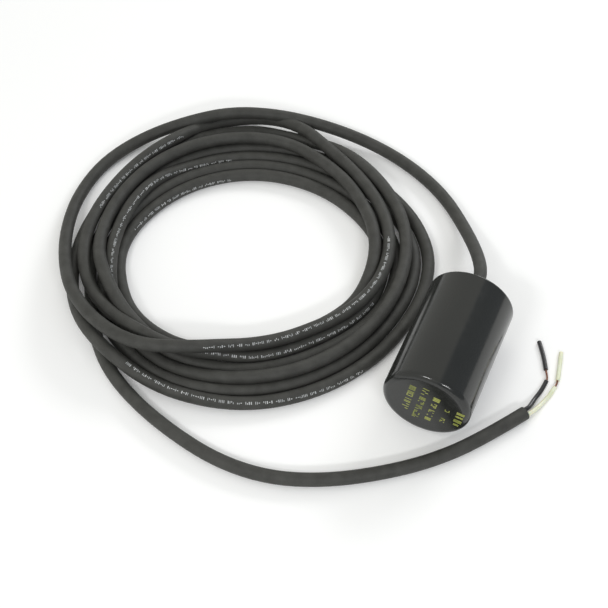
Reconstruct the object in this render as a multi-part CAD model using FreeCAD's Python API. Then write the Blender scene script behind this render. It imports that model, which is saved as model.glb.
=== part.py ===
import FreeCAD, Part
import math
import os

os.makedirs("parts", exist_ok=True)
Vector = FreeCAD.Vector

# Cable float switch, in millimetres. The float lies on its side: its axis runs along Y, the plain
# moulded end faces -Y and the cable leaves the capped end towards +Y. Z is up from the surface.

# Float shell: a cup moulded in one piece, open at the cable end
FLOAT_DIAMETER = 49.2
FLOAT_LENGTH = 76.0
SHELL_WALL = 2.4
SHELL_END_WALL = 3.0
FRONT_EDGE_RADIUS = 3.6
REAR_EDGE_RADIUS = 0.8
CAVITY_CORNER_RADIUS = 1.5
RIB_HEIGHT = 1.1
RIB_WIDTH = 2.4

# Rear cap, which plugs the mouth of the shell and seats on a ledge
CAP_RECESS = 1.0
CAP_THICKNESS = 5.0
CAP_LEDGE = 0.9
CAP_CHAMFER = 0.4
SKIRT_WALL = 1.6
SEAL_SECTION = 1.6
SLIDE_FIT = 0.1

# Cable gland in the cap
BOSS_RADIUS = 8.0
BOSS_LENGTH = 6.5
POCKET_RADIUS = 6.2
CAP_LIP = 2.0
CABLE_FIT = 0.05
BUSH_RIBS = 3
BUSH_RIB_DEPTH = 0.7
WASHER_THICKNESS = 1.0
NUT_WALL = 1.9
NUT_END = 2.0
NUT_GRIP = 5.0
CRIMP_WALL = 0.8
CRIMP_LENGTH = 3.6
CRIMP_GAP = 0.3
STUB_BEYOND_CRIMP = 2.0

# Cable and its two conductors
CABLE_DIAMETER = 7.6
CONDUCTOR_DIAMETER = 2.5
STRAND_DIAMETER = 1.1
CONDUCTOR_SPREAD = 1.6
STRAND_FIT = 0.03

# Works: the carrier and all it holds are drawn for this bay and kept in proportion to the float's
WORKS_RADIUS = 22.2
WORKS_LENGTH = 52.6

# Carrier: ball track, switch wall and two round frames, moulded as one
CARRIER_STUB_GAP = 1.6
CARRIER_GAP = 0.1
FRAME_THICKNESS = 2.0
FRAME_FIT = 0.2
REAR_FRAME_RIM = 2.8
TRACK_DROP = 9.5
TRACK_WALL = 1.8
TRACK_LENGTH = 22.9
WALL_THICKNESS = 2.0
WALL_TOP = 14.5
EAR_REACH_FORWARD = 7.0
EAR_REACH_BACK = 2.0
EAR_HALF_HEIGHT = 2.0

# Rolling ball and the bell-crank lever that it pushes
BALL_DIAMETER = 14.0
BALL_FIT = 0.3
BALL_STOP_GAP = 0.05
LEVER_SWING_DEG = 8.0
PIVOT_BEHIND_TRACK = 2.5
PIVOT_DROP = 0.6
PIN_RADIUS = 1.0
PIN_FIT = 0.05
PIN_HEAD_RADIUS = 1.7
PIN_HEAD_THICKNESS = 0.6
HUB_RADIUS = 2.2
LEVER_SIDE_GAP = 0.2
PADDLE_SET_FORWARD = 0.6
PADDLE_THICKNESS = 1.2
PADDLE_BELOW_BALL = 4.5
ARM_REACH = 7.0
ARM_BEYOND_PLUNGER = 1.0
ARM_TOP = 2.4
ARM_THICKNESS = 1.0

# Snap switch
SWITCH_LENGTH = 19.8
SWITCH_HEIGHT = 10.2
SWITCH_THICKNESS = 6.4
SWITCH_WALL = 1.0
PLUNGER_FROM_FRONT = 11.0
PLUNGER_RADIUS = 1.0
PLUNGER_FLANGE_RADIUS = 1.8
PLUNGER_FLANGE = 0.8
PLUNGER_NUB = 0.45
PLUNGER_OUT = 1.45
PLUNGER_FIT = 0.05
SCREW_PITCH = 9.5
SCREW_FROM_TOP = 2.6
SCREW_RADIUS = 1.05
SCREW_FIT = 0.05
SCREW_HEAD_RADIUS = 1.6
SCREW_HEAD_HEIGHT = 0.9
PILLAR_RADIUS = 1.9
BLADE_THICKNESS = 0.3
BLADE_WIDTH = 2.8
BLADE_LIFT_GAP = 0.66
BLADE_ROLL_RADIUS = 0.4
BLADE_HINGE_FROM_REAR = 2.1
CONTACT_FROM_FRONT = 2.1
CONTACT_RADIUS = 0.9
CONTACT_HEIGHT = 0.5
CONTACT_GAP = 1.0
CONTACT_SWING_DEG = 3.55
TERMINAL_THICKNESS = 0.8
TERMINAL_NECK = 1.6
TAB_WIDTH = 4.0
TAB_HEIGHT = 6.0
TERMINAL_FIT = 0.05

# Push-on connectors, whose barrels hang beside the switch
CONNECTOR_WALL = 0.4
CONNECTOR_HEIGHT = 4.8
CONNECTOR_LIFT = 0.8
BARREL_WALL = 0.55
BARREL_LENGTH = 4.8
BARREL_SIDE_GAP = 0.45

# Coil of loose turns: eight outline stations, each an eighth of a turn on from the first
COIL_OFF_FLOAT = 109.1
COIL_CENTRE_Y = 35.3
COIL_FIRST_STATION_DEG = 23.4
COIL_INNER_RADII = (68.4, 63.7, 63.3, 67.7, 76.8, 76.4, 66.4, 66.5)
COIL_OUTER_RADII = (107.6, 100.0, 108.4, 108.3, 110.8, 109.7, 107.8, 104.5)
COIL_LAYERS = 1.85
COIL_EDGE_SHARE = 0.4

# Routes from above, chosen by hand from the cable's lie: x, y and the lift off the surface
LEAD_STRAIGHT = 19.0
LEAD_ROUTE = (
    (-7.0, 76.0, 13.4),
    (-22.0, 101.0, 3.6),
    (-46.0, 127.5, 0.0),
    (-75.0, 143.5, 0.0),
    (-105.0, 150.4, 2.0),
    (-136.0, 150.2, 5.2),
    (-166.4, 145.2, 7.2),
    (-195.2, 133.4, 7.4),
    (-219.8, 116.8, 5.4),
    (-240.6, 96.4, 1.8),
    (-253.6, 70.0, 0.0),
    (-254.8, 40.0, 0.4),
    (-247.0, 11.0, 3.8),
    (-232.5, -17.0, 8.2),
    (-213.0, -39.5, 12.6),
    (-188.0, -54.5, 14.8),
    (-161.0, -59.0, 14.8),
    (-136.0, -50.5, 12.2),
    (-117.0, -37.5, 7.8),
)
TAIL_ROUTE = (
    (-205.5, -32.0, 0.0),
    (-193.0, -53.0, 0.0),
    (-174.0, -71.8, 0.0),
    (-149.0, -85.5, 0.0),
    (-121.0, -95.0, 0.0),
    (-92.0, -101.0, 0.0),
    (-63.0, -99.6, 0.0),
    (-36.0, -89.8, 0.0),
    (-10.5, -74.2, 0.0),
    (12.0, -56.0, 0.0),
    (31.5, -33.5, 0.0),
    (48.5, -7.1, 0.0),
)
BLACK_ROUTE = (
    (49.6, -1.8, 2.2),
    (50.3, 5.0, 0.3),
    (52.4, 12.8, 0.0),
    (52.9, 19.6, 0.0),
)
BLACK_SLUG_ROUTE = (
    (50.3, 27.0, 0.0),
    (46.9, 35.4, 0.0),
    (41.2, 44.2, 0.0),
)
WHITE_ROUTE = (
    (53.0, -2.4, 2.2),
    (55.2, 4.4, 0.3),
    (57.4, 11.2, 0.0),
    (58.4, 17.4, 0.0),
)
WHITE_SLUG_ROUTE = (
    (58.6, 22.4, 0.0),
    (57.0, 32.0, 0.0),
    (54.9, 41.8, 0.0),
)
ARC_SHARE = 0.45
STRAND_BEFORE_BEND = 2.0
STRAND_SHORT_OF_SLUG = 2.5

# Places that follow from the sizes above; heights are taken from the float's axis
AXIS_HEIGHT = FLOAT_DIAMETER / 2
COIL_CENTRE = (-AXIS_HEIGHT - COIL_OFF_FLOAT, COIL_CENTRE_Y)
FRONT_Y = -FLOAT_LENGTH / 2
REAR_Y = FLOAT_LENGTH / 2
CAVITY_RADIUS = AXIS_HEIGHT - SHELL_WALL
CAVITY_FRONT_Y = FRONT_Y + SHELL_END_WALL
MOUTH_RADIUS = CAVITY_RADIUS + CAP_LEDGE
CAP_FACE_Y = REAR_Y - CAP_RECESS
CAP_SEAT_Y = CAP_FACE_Y - CAP_THICKNESS
BOSS_END_Y = CAP_SEAT_Y - BOSS_LENGTH
CABLE_RADIUS = CABLE_DIAMETER / 2
CRIMP_END_Y = BOSS_END_Y - NUT_END - CRIMP_GAP
CRIMP_START_Y = CRIMP_END_Y - CRIMP_LENGTH
STUB_END_Y = CRIMP_START_Y - STUB_BEYOND_CRIMP
CARRIER_FRONT_Y = CAVITY_FRONT_Y + CARRIER_GAP
CARRIER_REAR_Y = STUB_END_Y - CARRIER_STUB_GAP
WORKS_SCALE = min(CAVITY_RADIUS / WORKS_RADIUS, (STUB_END_Y - CAVITY_FRONT_Y) / WORKS_LENGTH)
FRAME_RADIUS = CAVITY_RADIUS - FRAME_FIT
TRACK_START_Y = CARRIER_FRONT_Y + FRAME_THICKNESS
TRACK_END_Y = TRACK_START_Y + TRACK_LENGTH
TRACK_BORE = BALL_DIAMETER / 2 + BALL_FIT
TRACK_RADIUS = TRACK_BORE + TRACK_WALL
BALL_Z = -TRACK_DROP - BALL_FIT + BALL_STOP_GAP
HALF_SWITCH = SWITCH_THICKNESS / 2
WALL_X = -HALF_SWITCH - WALL_THICKNESS
PIVOT_Y = TRACK_END_Y + PIVOT_BEHIND_TRACK
PIVOT_Z = -PIVOT_DROP
PLUNGER_Y = PIVOT_Y + ARM_REACH
PLUNGER_TIP_Z = PIVOT_Z + ARM_TOP + PLUNGER_FIT
SWITCH_BOTTOM_Z = PLUNGER_TIP_Z + PLUNGER_OUT
SWITCH_TOP_Z = SWITCH_BOTTOM_Z + SWITCH_HEIGHT
SWITCH_FRONT_Y = PLUNGER_Y - PLUNGER_FROM_FRONT
SWITCH_REAR_Y = SWITCH_FRONT_Y + SWITCH_LENGTH
FLANGE_Z = SWITCH_BOTTOM_Z + SWITCH_WALL + PLUNGER_FIT
PLUNGER_TOP_Z = FLANGE_Z + PLUNGER_FLANGE + PLUNGER_NUB
BLADE_Z = PLUNGER_TOP_Z + BLADE_LIFT_GAP
HINGE_Y = SWITCH_REAR_Y - BLADE_HINGE_FROM_REAR
CONTACT_Y = SWITCH_FRONT_Y + CONTACT_FROM_FRONT
OPEN_CONTACT_Z = BLADE_Z + BLADE_THICKNESS + CONTACT_HEIGHT + CONTACT_GAP + TERMINAL_FIT
SCREW_MIDDLE_Y = (SWITCH_FRONT_Y + SWITCH_REAR_Y) / 2
SCREW_Z = SWITCH_TOP_Z - SCREW_FROM_TOP
CONDUCTOR_RADIUS = CONDUCTOR_DIAMETER / 2
WIRE_RADIUS = CONDUCTOR_RADIUS / WORKS_SCALE
BARREL_RADIUS = WIRE_RADIUS + CABLE_FIT + BARREL_WALL
BARREL_X = HALF_SWITCH + BARREL_SIDE_GAP + BARREL_RADIUS
CONNECTOR_Z = SWITCH_TOP_Z + CONNECTOR_LIFT
BARREL_BOTTOM_Z = CONNECTOR_Z - BARREL_LENGTH


def rod(radius, start_y, end_y, x=0.0, z=0.0):
    """A round bar along Y."""
    return Part.makeCylinder(radius, end_y - start_y, Vector(x, start_y, z), Vector(0, 1, 0))


def ring(outer, inner, start_y, end_y, x=0.0, z=0.0):
    """A round bar along Y with a bore through it."""
    return rod(outer, start_y, end_y, x, z).cut(rod(inner, start_y, end_y, x, z))


def cross_rod(radius, start_x, end_x, y, z):
    """A round bar along X."""
    return Part.makeCylinder(radius, end_x - start_x, Vector(start_x, y, z), Vector(1, 0, 0))


def post(radius, start_z, end_z, x, y):
    """A round bar along Z."""
    return Part.makeCylinder(radius, end_z - start_z, Vector(x, y, start_z), Vector(0, 0, 1))


def block(start, end):
    """A box between two opposite corners."""
    size = [high - low for low, high in zip(start, end)]
    return Part.makeBox(size[0], size[1], size[2], Vector(*start))


def turned(corners, rounds):
    """A solid turned about Y from (radius, y) corners; rounds gives a corner's radius by its index."""
    points = [Vector(radius, y, 0) for radius, y in corners]
    edges = []
    start = points[0]
    for index in range(1, len(points)):
        corner = points[index]
        if index in rounds:
            after = points[index + 1]
            way_in = Vector(corner - points[index - 1]).normalize()
            way_out = Vector(after - corner).normalize()
            arc_start = corner - way_in * rounds[index]
            arc_end = corner + way_out * rounds[index]
            inward = Vector(way_out - way_in).normalize()
            middle = corner + inward * (rounds[index] * (math.sqrt(2) - 1))
            edges.append(Part.LineSegment(start, arc_start).toShape())
            edges.append(Part.Arc(arc_start, middle, arc_end).toShape())
            start = arc_end
        else:
            edges.append(Part.LineSegment(start, corner).toShape())
            start = corner
    edges.append(Part.LineSegment(start, points[0]).toShape())
    return Part.Face(Part.Wire(edges)).revolve(Vector(0, 0, 0), Vector(0, 1, 0), 360)


def rounded_path(points):
    """Straight runs joined by tangent arcs, with the radius of each arc."""
    edges = []
    radii = []
    start = points[0]
    for before, corner, after in zip(points, points[1:], points[2:]):
        way_in = Vector(corner - before).normalize()
        way_out = Vector(after - corner).normalize()
        half_turn = way_in.getAngle(way_out) / 2
        cut_back = ARC_SHARE * min((corner - before).Length, (after - corner).Length)
        radius = cut_back / math.tan(half_turn)
        inward = Vector(way_out - way_in).normalize()
        middle = corner + inward * (radius / math.cos(half_turn) - radius)
        arc_start = corner - way_in * cut_back
        arc_end = corner + way_out * cut_back
        edges.append(Part.LineSegment(start, arc_start).toShape())
        edges.append(Part.Arc(arc_start, middle, arc_end).toShape())
        radii.append(radius)
        start = arc_end
    edges.append(Part.LineSegment(start, points[-1]).toShape())
    return Part.Wire(edges), radii


def tube_along(points, radius, name):
    """A round cord along a route, with its length, volume and arc radii printed."""
    path, radii = rounded_path(points)
    heading = Vector(points[1] - points[0]).normalize()
    section = Part.Wire(Part.makeCircle(radius, points[0], heading))
    solid = path.makePipeShell([section], True, False)
    section_volume = math.pi * radius ** 2 * path.Length
    print(name, "length", round(path.Length, 1), "volume ratio", round(solid.Volume / section_volume, 4))
    print("  arc radii", [round(value, 1) for value in radii])
    return solid


def on_axis(solid):
    """Lift a piece that was drawn about the float's axis to the axis's height."""
    solid.translate(Vector(0, 0, AXIS_HEIGHT))
    return solid


def drawn_y(real_y):
    """Where a real place along Y falls on the works' drawing."""
    return CARRIER_FRONT_Y + (real_y - CARRIER_FRONT_Y) / WORKS_SCALE


def fitted(solid):
    """A piece of the works, brought from its drawing to the float's proportion."""
    return solid.scaled(WORKS_SCALE, Vector(0, CARRIER_FRONT_Y, 0))


def lying(route, radius):
    """The centre points of a cord of the given radius along a route."""
    return [Vector(x, y, radius + lift) for x, y, lift in route]


def float_shell():
    """The moulded cup with a rounded closed end, a stepped mouth and two inner ribs."""
    corners = [
        (0, FRONT_Y),
        (AXIS_HEIGHT, FRONT_Y),
        (AXIS_HEIGHT, REAR_Y),
        (MOUTH_RADIUS, REAR_Y),
        (MOUTH_RADIUS, CAP_SEAT_Y),
        (CAVITY_RADIUS, CAP_SEAT_Y),
        (CAVITY_RADIUS, CAVITY_FRONT_Y),
        (0, CAVITY_FRONT_Y),
    ]
    rounds = {
        1: FRONT_EDGE_RADIUS,
        2: min(REAR_EDGE_RADIUS, (SHELL_WALL - CAP_LEDGE) * 0.8),
        6: CAVITY_CORNER_RADIUS,
    }
    shell = turned(corners, rounds)
    root = AXIS_HEIGHT - SHELL_WALL / 2
    for side in (-1, 1):
        inner = side * (CAVITY_RADIUS - RIB_HEIGHT)
        outer = side * root
        low = (min(inner, outer), CAVITY_FRONT_Y - SHELL_END_WALL / 2, -RIB_WIDTH / 2)
        high = (max(inner, outer), CARRIER_REAR_Y, RIB_WIDTH / 2)
        shell = shell.fuse(block(low, high))
    return shell.removeSplitter()


def rear_cap():
    """The plug with its seal groove, cable boss and the skirt that holds the carrier in place."""
    rim = MOUTH_RADIUS - SLIDE_FIT
    groove_floor = MOUTH_RADIUS - SEAL_SECTION - SLIDE_FIT
    groove_half = (SEAL_SECTION + 2 * SLIDE_FIT) / 2
    middle_y = (CAP_FACE_Y + CAP_SEAT_Y) / 2
    cap = rod(rim, CAP_SEAT_Y, CAP_FACE_Y)
    rim_edges = [
        edge
        for edge in cap.Edges
        if edge.Curve.TypeId == "Part::GeomCircle" and edge.BoundBox.YMin > middle_y
    ]
    cap = cap.makeChamfer(CAP_CHAMFER, rim_edges)
    cap = cap.cut(ring(rim + 1, groove_floor, middle_y - groove_half, middle_y + groove_half))
    skirt_outer = CAVITY_RADIUS - SLIDE_FIT
    skirt_start = CARRIER_REAR_Y + SLIDE_FIT / 2
    cap = cap.fuse(ring(skirt_outer, skirt_outer - SKIRT_WALL, skirt_start, CAP_SEAT_Y))
    cap = cap.fuse(rod(BOSS_RADIUS, BOSS_END_Y, CAP_SEAT_Y))
    cap = cap.cut(rod(POCKET_RADIUS, BOSS_END_Y, CAP_FACE_Y - CAP_LIP))
    cap = cap.cut(rod(CABLE_RADIUS + SLIDE_FIT, BOSS_END_Y, CAP_FACE_Y))
    return cap.removeSplitter()


def cap_seal():
    """The round-section ring in the groove of the cap."""
    middle_y = (CAP_FACE_Y + CAP_SEAT_Y) / 2
    ring_radius = MOUTH_RADIUS - SEAL_SECTION / 2 - CABLE_FIT
    return Part.makeTorus(ring_radius, SEAL_SECTION / 2, Vector(0, middle_y, 0), Vector(0, 1, 0))


def cable_bush():
    """The ribbed rubber bush that seals the cable in its boss."""
    start = BOSS_END_Y + WASHER_THICKNESS
    end = CAP_FACE_Y - CAP_LIP
    outer = POCKET_RADIUS - CABLE_FIT
    bush = ring(outer, CABLE_RADIUS + CABLE_FIT, start, end)
    pitch = (end - start) / (BUSH_RIBS + 0.5)
    for index in range(BUSH_RIBS):
        groove_start = start + pitch * (index + 0.5)
        groove = ring(outer + 1, outer - BUSH_RIB_DEPTH, groove_start, groove_start + pitch / 2)
        bush = bush.cut(groove)
    return bush


def gland_washer():
    """The flat washer between the nut and the bush."""
    inner = CABLE_RADIUS + SLIDE_FIT
    return ring(POCKET_RADIUS - SLIDE_FIT, inner, BOSS_END_Y, BOSS_END_Y + WASHER_THICKNESS)


def gland_nut():
    """The six-sided cap nut that squeezes the bush."""
    start = BOSS_END_Y - NUT_END
    end = BOSS_END_Y + min(NUT_GRIP, BOSS_LENGTH - CRIMP_GAP)
    corner_radius = (BOSS_RADIUS + NUT_WALL) / math.cos(math.pi / 6)
    corners = []
    for index in range(7):
        angle = math.pi / 3 * index
        corners.append(Vector(corner_radius * math.cos(angle), start, corner_radius * math.sin(angle)))
    nut = Part.Face(Part.makePolygon(corners)).extrude(Vector(0, end - start, 0))
    nut = nut.cut(rod(BOSS_RADIUS + SLIDE_FIT, BOSS_END_Y, end))
    return nut.cut(rod(CABLE_RADIUS + SLIDE_FIT, start, BOSS_END_Y))


def crimp_ring():
    """The metal ring that keeps the cable from being pulled out."""
    return ring(CABLE_RADIUS + CRIMP_WALL, CABLE_RADIUS + STRAND_FIT, CRIMP_START_Y, CRIMP_END_Y)


def cable_entry():
    """The end of the cable inside the float, from the cap's face to the stripped jacket."""
    return rod(CABLE_RADIUS, STUB_END_Y, CAP_FACE_Y)


def rib_notches(start_y, end_y):
    """Clearance for the shell's two ribs in a round frame."""
    half = RIB_WIDTH / 2 + SLIDE_FIT
    depth = RIB_HEIGHT + SLIDE_FIT
    notches = []
    for side in (-1, 1):
        near = side * (CAVITY_RADIUS - depth)
        far = side * (CAVITY_RADIUS + 1)
        notches.append(block((min(near, far), start_y, -half), (max(near, far), end_y, half)))
    return notches


def works_side(start_x, end_x, start_y, end_y, top):
    """An upright plate beside the lever, with a foot that stands on the ball track."""
    foot_end = min(end_y, TRACK_END_Y)
    plate = block((start_x, start_y, PIVOT_Z - EAR_HALF_HEIGHT), (end_x, end_y, top))
    return plate.fuse(block((start_x, start_y, -TRACK_DROP), (end_x, foot_end, top)))


def carrier_works():
    """Ball track, switch wall and pivot ear, on the works' drawing."""
    start_y = CARRIER_FRONT_Y + FRAME_THICKNESS / 2
    end_y = drawn_y(CARRIER_REAR_Y) - FRAME_THICKNESS / 2
    track = rod(TRACK_RADIUS, start_y, TRACK_END_Y, 0, -TRACK_DROP)
    wall = works_side(WALL_X, -HALF_SWITCH, start_y, end_y, WALL_TOP)
    ear_end = HALF_SWITCH + WALL_THICKNESS
    ear_start_y = PIVOT_Y - EAR_REACH_FORWARD
    ear_end_y = PIVOT_Y + EAR_REACH_BACK
    ear = works_side(HALF_SWITCH, ear_end, ear_start_y, ear_end_y, PIVOT_Z + EAR_HALF_HEIGHT)
    works = track.fuse([wall, ear])
    works = works.cut(rod(TRACK_BORE, TRACK_START_Y, TRACK_END_Y, 0, -TRACK_DROP))
    works = works.cut(cross_rod(PIN_RADIUS + STRAND_FIT, WALL_X - 1, ear_end + 1, PIVOT_Y, PIVOT_Z))
    for y in screw_places():
        works = works.cut(cross_rod(SCREW_RADIUS + STRAND_FIT, WALL_X - 1, 0, y, SCREW_Z))
    return works


def switch_carrier():
    """The works' moulding with the two round frames that centre it in the shell."""
    frame_end = CARRIER_FRONT_Y + FRAME_THICKNESS * WORKS_SCALE
    front = rod(FRAME_RADIUS, CARRIER_FRONT_Y, frame_end)
    front_edges = [
        edge
        for edge in front.Edges
        if edge.Curve.TypeId == "Part::GeomCircle" and edge.BoundBox.YMax < frame_end - 0.01
    ]
    front = front.makeChamfer(min(CAVITY_CORNER_RADIUS, FRAME_THICKNESS * WORKS_SCALE * 0.8), front_edges)
    rear_start = CARRIER_REAR_Y - FRAME_THICKNESS
    rear_inner = FRAME_RADIUS - REAR_FRAME_RIM
    rear = ring(FRAME_RADIUS, rear_inner, rear_start, CARRIER_REAR_Y)
    strut_end = rear_inner + REAR_FRAME_RIM / 4
    strut_low = (WALL_X * WORKS_SCALE, rear_start - FRAME_THICKNESS, -strut_end)
    strut = block(strut_low, (-HALF_SWITCH * WORKS_SCALE, CARRIER_REAR_Y, strut_end))
    carrier = fitted(carrier_works()).fuse([front, rear, strut])
    for notch in rib_notches(CARRIER_FRONT_Y - 1, CARRIER_REAR_Y + 1):
        carrier = carrier.cut(notch)
    return carrier.removeSplitter()


def ball_rest_y():
    """Where the ball's centre lies against the front frame."""
    return TRACK_START_Y + BALL_DIAMETER / 2 + BALL_STOP_GAP


def ball_travel():
    """How far the ball rolls until it has swung the lever by its full angle."""
    swing = math.radians(LEVER_SWING_DEG)
    height = PIVOT_Z - BALL_Z
    paddle_y = -PADDLE_SET_FORWARD * math.cos(swing) + height * math.sin(swing)
    paddle_z = -PADDLE_SET_FORWARD * math.sin(swing) - height * math.cos(swing)
    offset = (BALL_DIAMETER / 2 + BALL_STOP_GAP) / math.cos(swing)
    slope = (paddle_z + height) * math.tan(swing)
    return PIVOT_Y + paddle_y + slope - offset - ball_rest_y()


def plunger_travel():
    """How far the lever's arm lifts the round tip of the plunger."""
    swing = math.radians(LEVER_SWING_DEG)
    arm_line = ARM_TOP / math.cos(swing) + ARM_REACH * math.tan(swing)
    tip_centre = arm_line + (PLUNGER_RADIUS + PLUNGER_FIT) / math.cos(swing)
    return tip_centre - PLUNGER_RADIUS - PLUNGER_FIT - ARM_TOP


def steel_ball():
    """The ball that rolls along the track when the float tips."""
    return Part.makeSphere(BALL_DIAMETER / 2, Vector(0, ball_rest_y(), BALL_Z))


def actuator_lever():
    """A bell crank: the paddle hangs behind the track and the arm lies under the plunger."""
    half = HALF_SWITCH - LEVER_SIDE_GAP
    front = PIVOT_Y - PADDLE_SET_FORWARD
    bottom = -TRACK_DROP - PADDLE_BELOW_BALL
    hub = cross_rod(HUB_RADIUS, -half, half, PIVOT_Y, PIVOT_Z)
    paddle = block((-half, front, bottom), (half, front + PADDLE_THICKNESS, PIVOT_Z))
    arm_top = PIVOT_Z + ARM_TOP
    arm_end = PLUNGER_Y + ARM_BEYOND_PLUNGER
    arm = block((-half, PIVOT_Y, arm_top - ARM_THICKNESS), (half, arm_end, arm_top))
    lever = hub.fuse([paddle, arm])
    lever = lever.cut(cross_rod(PIN_RADIUS + PIN_FIT, -half - 1, half + 1, PIVOT_Y, PIVOT_Z))
    return lever.removeSplitter()


def lever_pin():
    """The headed pin through the wall, the lever and the ear."""
    end = HALF_SWITCH + WALL_THICKNESS
    shank = cross_rod(PIN_RADIUS, WALL_X, end, PIVOT_Y, PIVOT_Z)
    head = cross_rod(PIN_HEAD_RADIUS, end, end + PIN_HEAD_THICKNESS, PIVOT_Y, PIVOT_Z)
    return shank.fuse(head).removeSplitter()


def screw_places():
    """The two screws that hold the switch to the wall."""
    return [SCREW_MIDDLE_Y - SCREW_PITCH / 2, SCREW_MIDDLE_Y + SCREW_PITCH / 2]


def switch_case():
    """The switch's open case with its pillars, rest stop, plunger hole and terminal slots."""
    cover_x = HALF_SWITCH - SWITCH_WALL
    case = block(
        (-HALF_SWITCH, SWITCH_FRONT_Y, SWITCH_BOTTOM_Z), (cover_x, SWITCH_REAR_Y, SWITCH_TOP_Z)
    )
    floor_z = SWITCH_BOTTOM_Z + SWITCH_WALL
    inside_low = (-HALF_SWITCH + SWITCH_WALL, SWITCH_FRONT_Y + SWITCH_WALL, floor_z)
    inside_high = (cover_x, SWITCH_REAR_Y - SWITCH_WALL, SWITCH_TOP_Z - SWITCH_WALL)
    case = case.cut(block(inside_low, inside_high))
    for y in screw_places():
        case = case.fuse(cross_rod(PILLAR_RADIUS, -HALF_SWITCH, cover_x, y, SCREW_Z))
    for y in screw_places():
        case = case.cut(cross_rod(SCREW_RADIUS + SCREW_FIT, -HALF_SWITCH, cover_x, y, SCREW_Z))
    stop_top = BLADE_Z - CONTACT_HEIGHT - TERMINAL_FIT
    case = case.fuse(post(CONTACT_RADIUS, SWITCH_BOTTOM_Z, stop_top, 0, CONTACT_Y))
    hole = post(PLUNGER_RADIUS + PLUNGER_FIT, SWITCH_BOTTOM_Z - 1, floor_z, 0, PLUNGER_Y)
    case = case.cut(hole)
    for y in (CONTACT_Y, HINGE_Y):
        case = case.cut(terminal_neck(y, SWITCH_TOP_Z - SWITCH_WALL, SWITCH_TOP_Z, TERMINAL_FIT))
    return case.removeSplitter()


def switch_cover():
    """The flat side cover of the switch, with its two screw holes."""
    cover_x = HALF_SWITCH - SWITCH_WALL
    cover = block(
        (cover_x, SWITCH_FRONT_Y, SWITCH_BOTTOM_Z), (HALF_SWITCH, SWITCH_REAR_Y, SWITCH_TOP_Z)
    )
    for y in screw_places():
        cover = cover.cut(cross_rod(SCREW_RADIUS + SCREW_FIT, cover_x, HALF_SWITCH, y, SCREW_Z))
    return cover


def switch_screws():
    """Two screws with round heads, through the switch and into the wall."""
    screws = []
    for y in screw_places():
        shank = cross_rod(SCREW_RADIUS, WALL_X, HALF_SWITCH, y, SCREW_Z)
        head_end = HALF_SWITCH + SCREW_HEAD_HEIGHT
        head = cross_rod(SCREW_HEAD_RADIUS, HALF_SWITCH, head_end, y, SCREW_Z)
        slot = block(
            (head_end - SCREW_HEAD_HEIGHT / 2, y - SCREW_HEAD_RADIUS, SCREW_Z - SWITCH_WALL / 4),
            (head_end, y + SCREW_HEAD_RADIUS, SCREW_Z + SWITCH_WALL / 4),
        )
        screws.append(shank.fuse(head).cut(slot).removeSplitter())
    return Part.makeCompound(screws)


def switch_plunger():
    """The stepped pin with a round tip."""
    stem_start = PLUNGER_TIP_Z + PLUNGER_RADIUS
    tip = Part.makeSphere(PLUNGER_RADIUS, Vector(0, PLUNGER_Y, stem_start))
    stem = post(PLUNGER_RADIUS, stem_start, PLUNGER_TOP_Z, 0, PLUNGER_Y)
    flange = post(PLUNGER_FLANGE_RADIUS, FLANGE_Z, FLANGE_Z + PLUNGER_FLANGE, 0, PLUNGER_Y)
    return tip.fuse([stem, flange]).removeSplitter()


def contact_blade():
    """The moving blade with its contact rivet and its rolled hinge edge."""
    half = BLADE_WIDTH / 2
    front = CONTACT_Y - CONTACT_RADIUS
    middle_z = BLADE_Z + BLADE_THICKNESS / 2
    blade = block((-half, front, BLADE_Z), (half, HINGE_Y, BLADE_Z + BLADE_THICKNESS))
    roll = cross_rod(BLADE_ROLL_RADIUS, -half, half, HINGE_Y, middle_z)
    rivet_top = BLADE_Z + BLADE_THICKNESS + CONTACT_HEIGHT
    rivet = post(CONTACT_RADIUS, BLADE_Z - CONTACT_HEIGHT, rivet_top, 0, CONTACT_Y)
    return blade.fuse([roll, rivet]).removeSplitter()


def terminal_neck(y, start_z, end_z, fit=0.0):
    """The narrow strip of a terminal, or its slot when a fit is given."""
    half_x = TERMINAL_THICKNESS / 2 + fit
    half_y = TERMINAL_NECK / 2 + fit
    return block((-half_x, y - half_y, start_z), (half_x, y + half_y, end_z))


def terminal_tab(y):
    """The wide tab that a connector pushes on to."""
    half = TERMINAL_THICKNESS / 2
    return block(
        (-half, y - TAB_WIDTH / 2, SWITCH_TOP_Z), (half, y + TAB_WIDTH / 2, SWITCH_TOP_Z + TAB_HEIGHT)
    )


def open_terminal():
    """The terminal whose contact waits above the blade."""
    rivet_top = OPEN_CONTACT_Z + CONTACT_HEIGHT
    rivet = post(CONTACT_RADIUS, OPEN_CONTACT_Z, rivet_top, 0, CONTACT_Y)
    neck = terminal_neck(CONTACT_Y, rivet_top, SWITCH_TOP_Z)
    return rivet.fuse([neck, terminal_tab(CONTACT_Y)]).removeSplitter()


def common_terminal():
    """The terminal that carries the blade's hinge end."""
    foot_start = BLADE_Z + BLADE_THICKNESS / 2 + BLADE_ROLL_RADIUS + TERMINAL_FIT
    neck = terminal_neck(HINGE_Y, foot_start, SWITCH_TOP_Z)
    return neck.fuse(terminal_tab(HINGE_Y)).removeSplitter()


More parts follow.
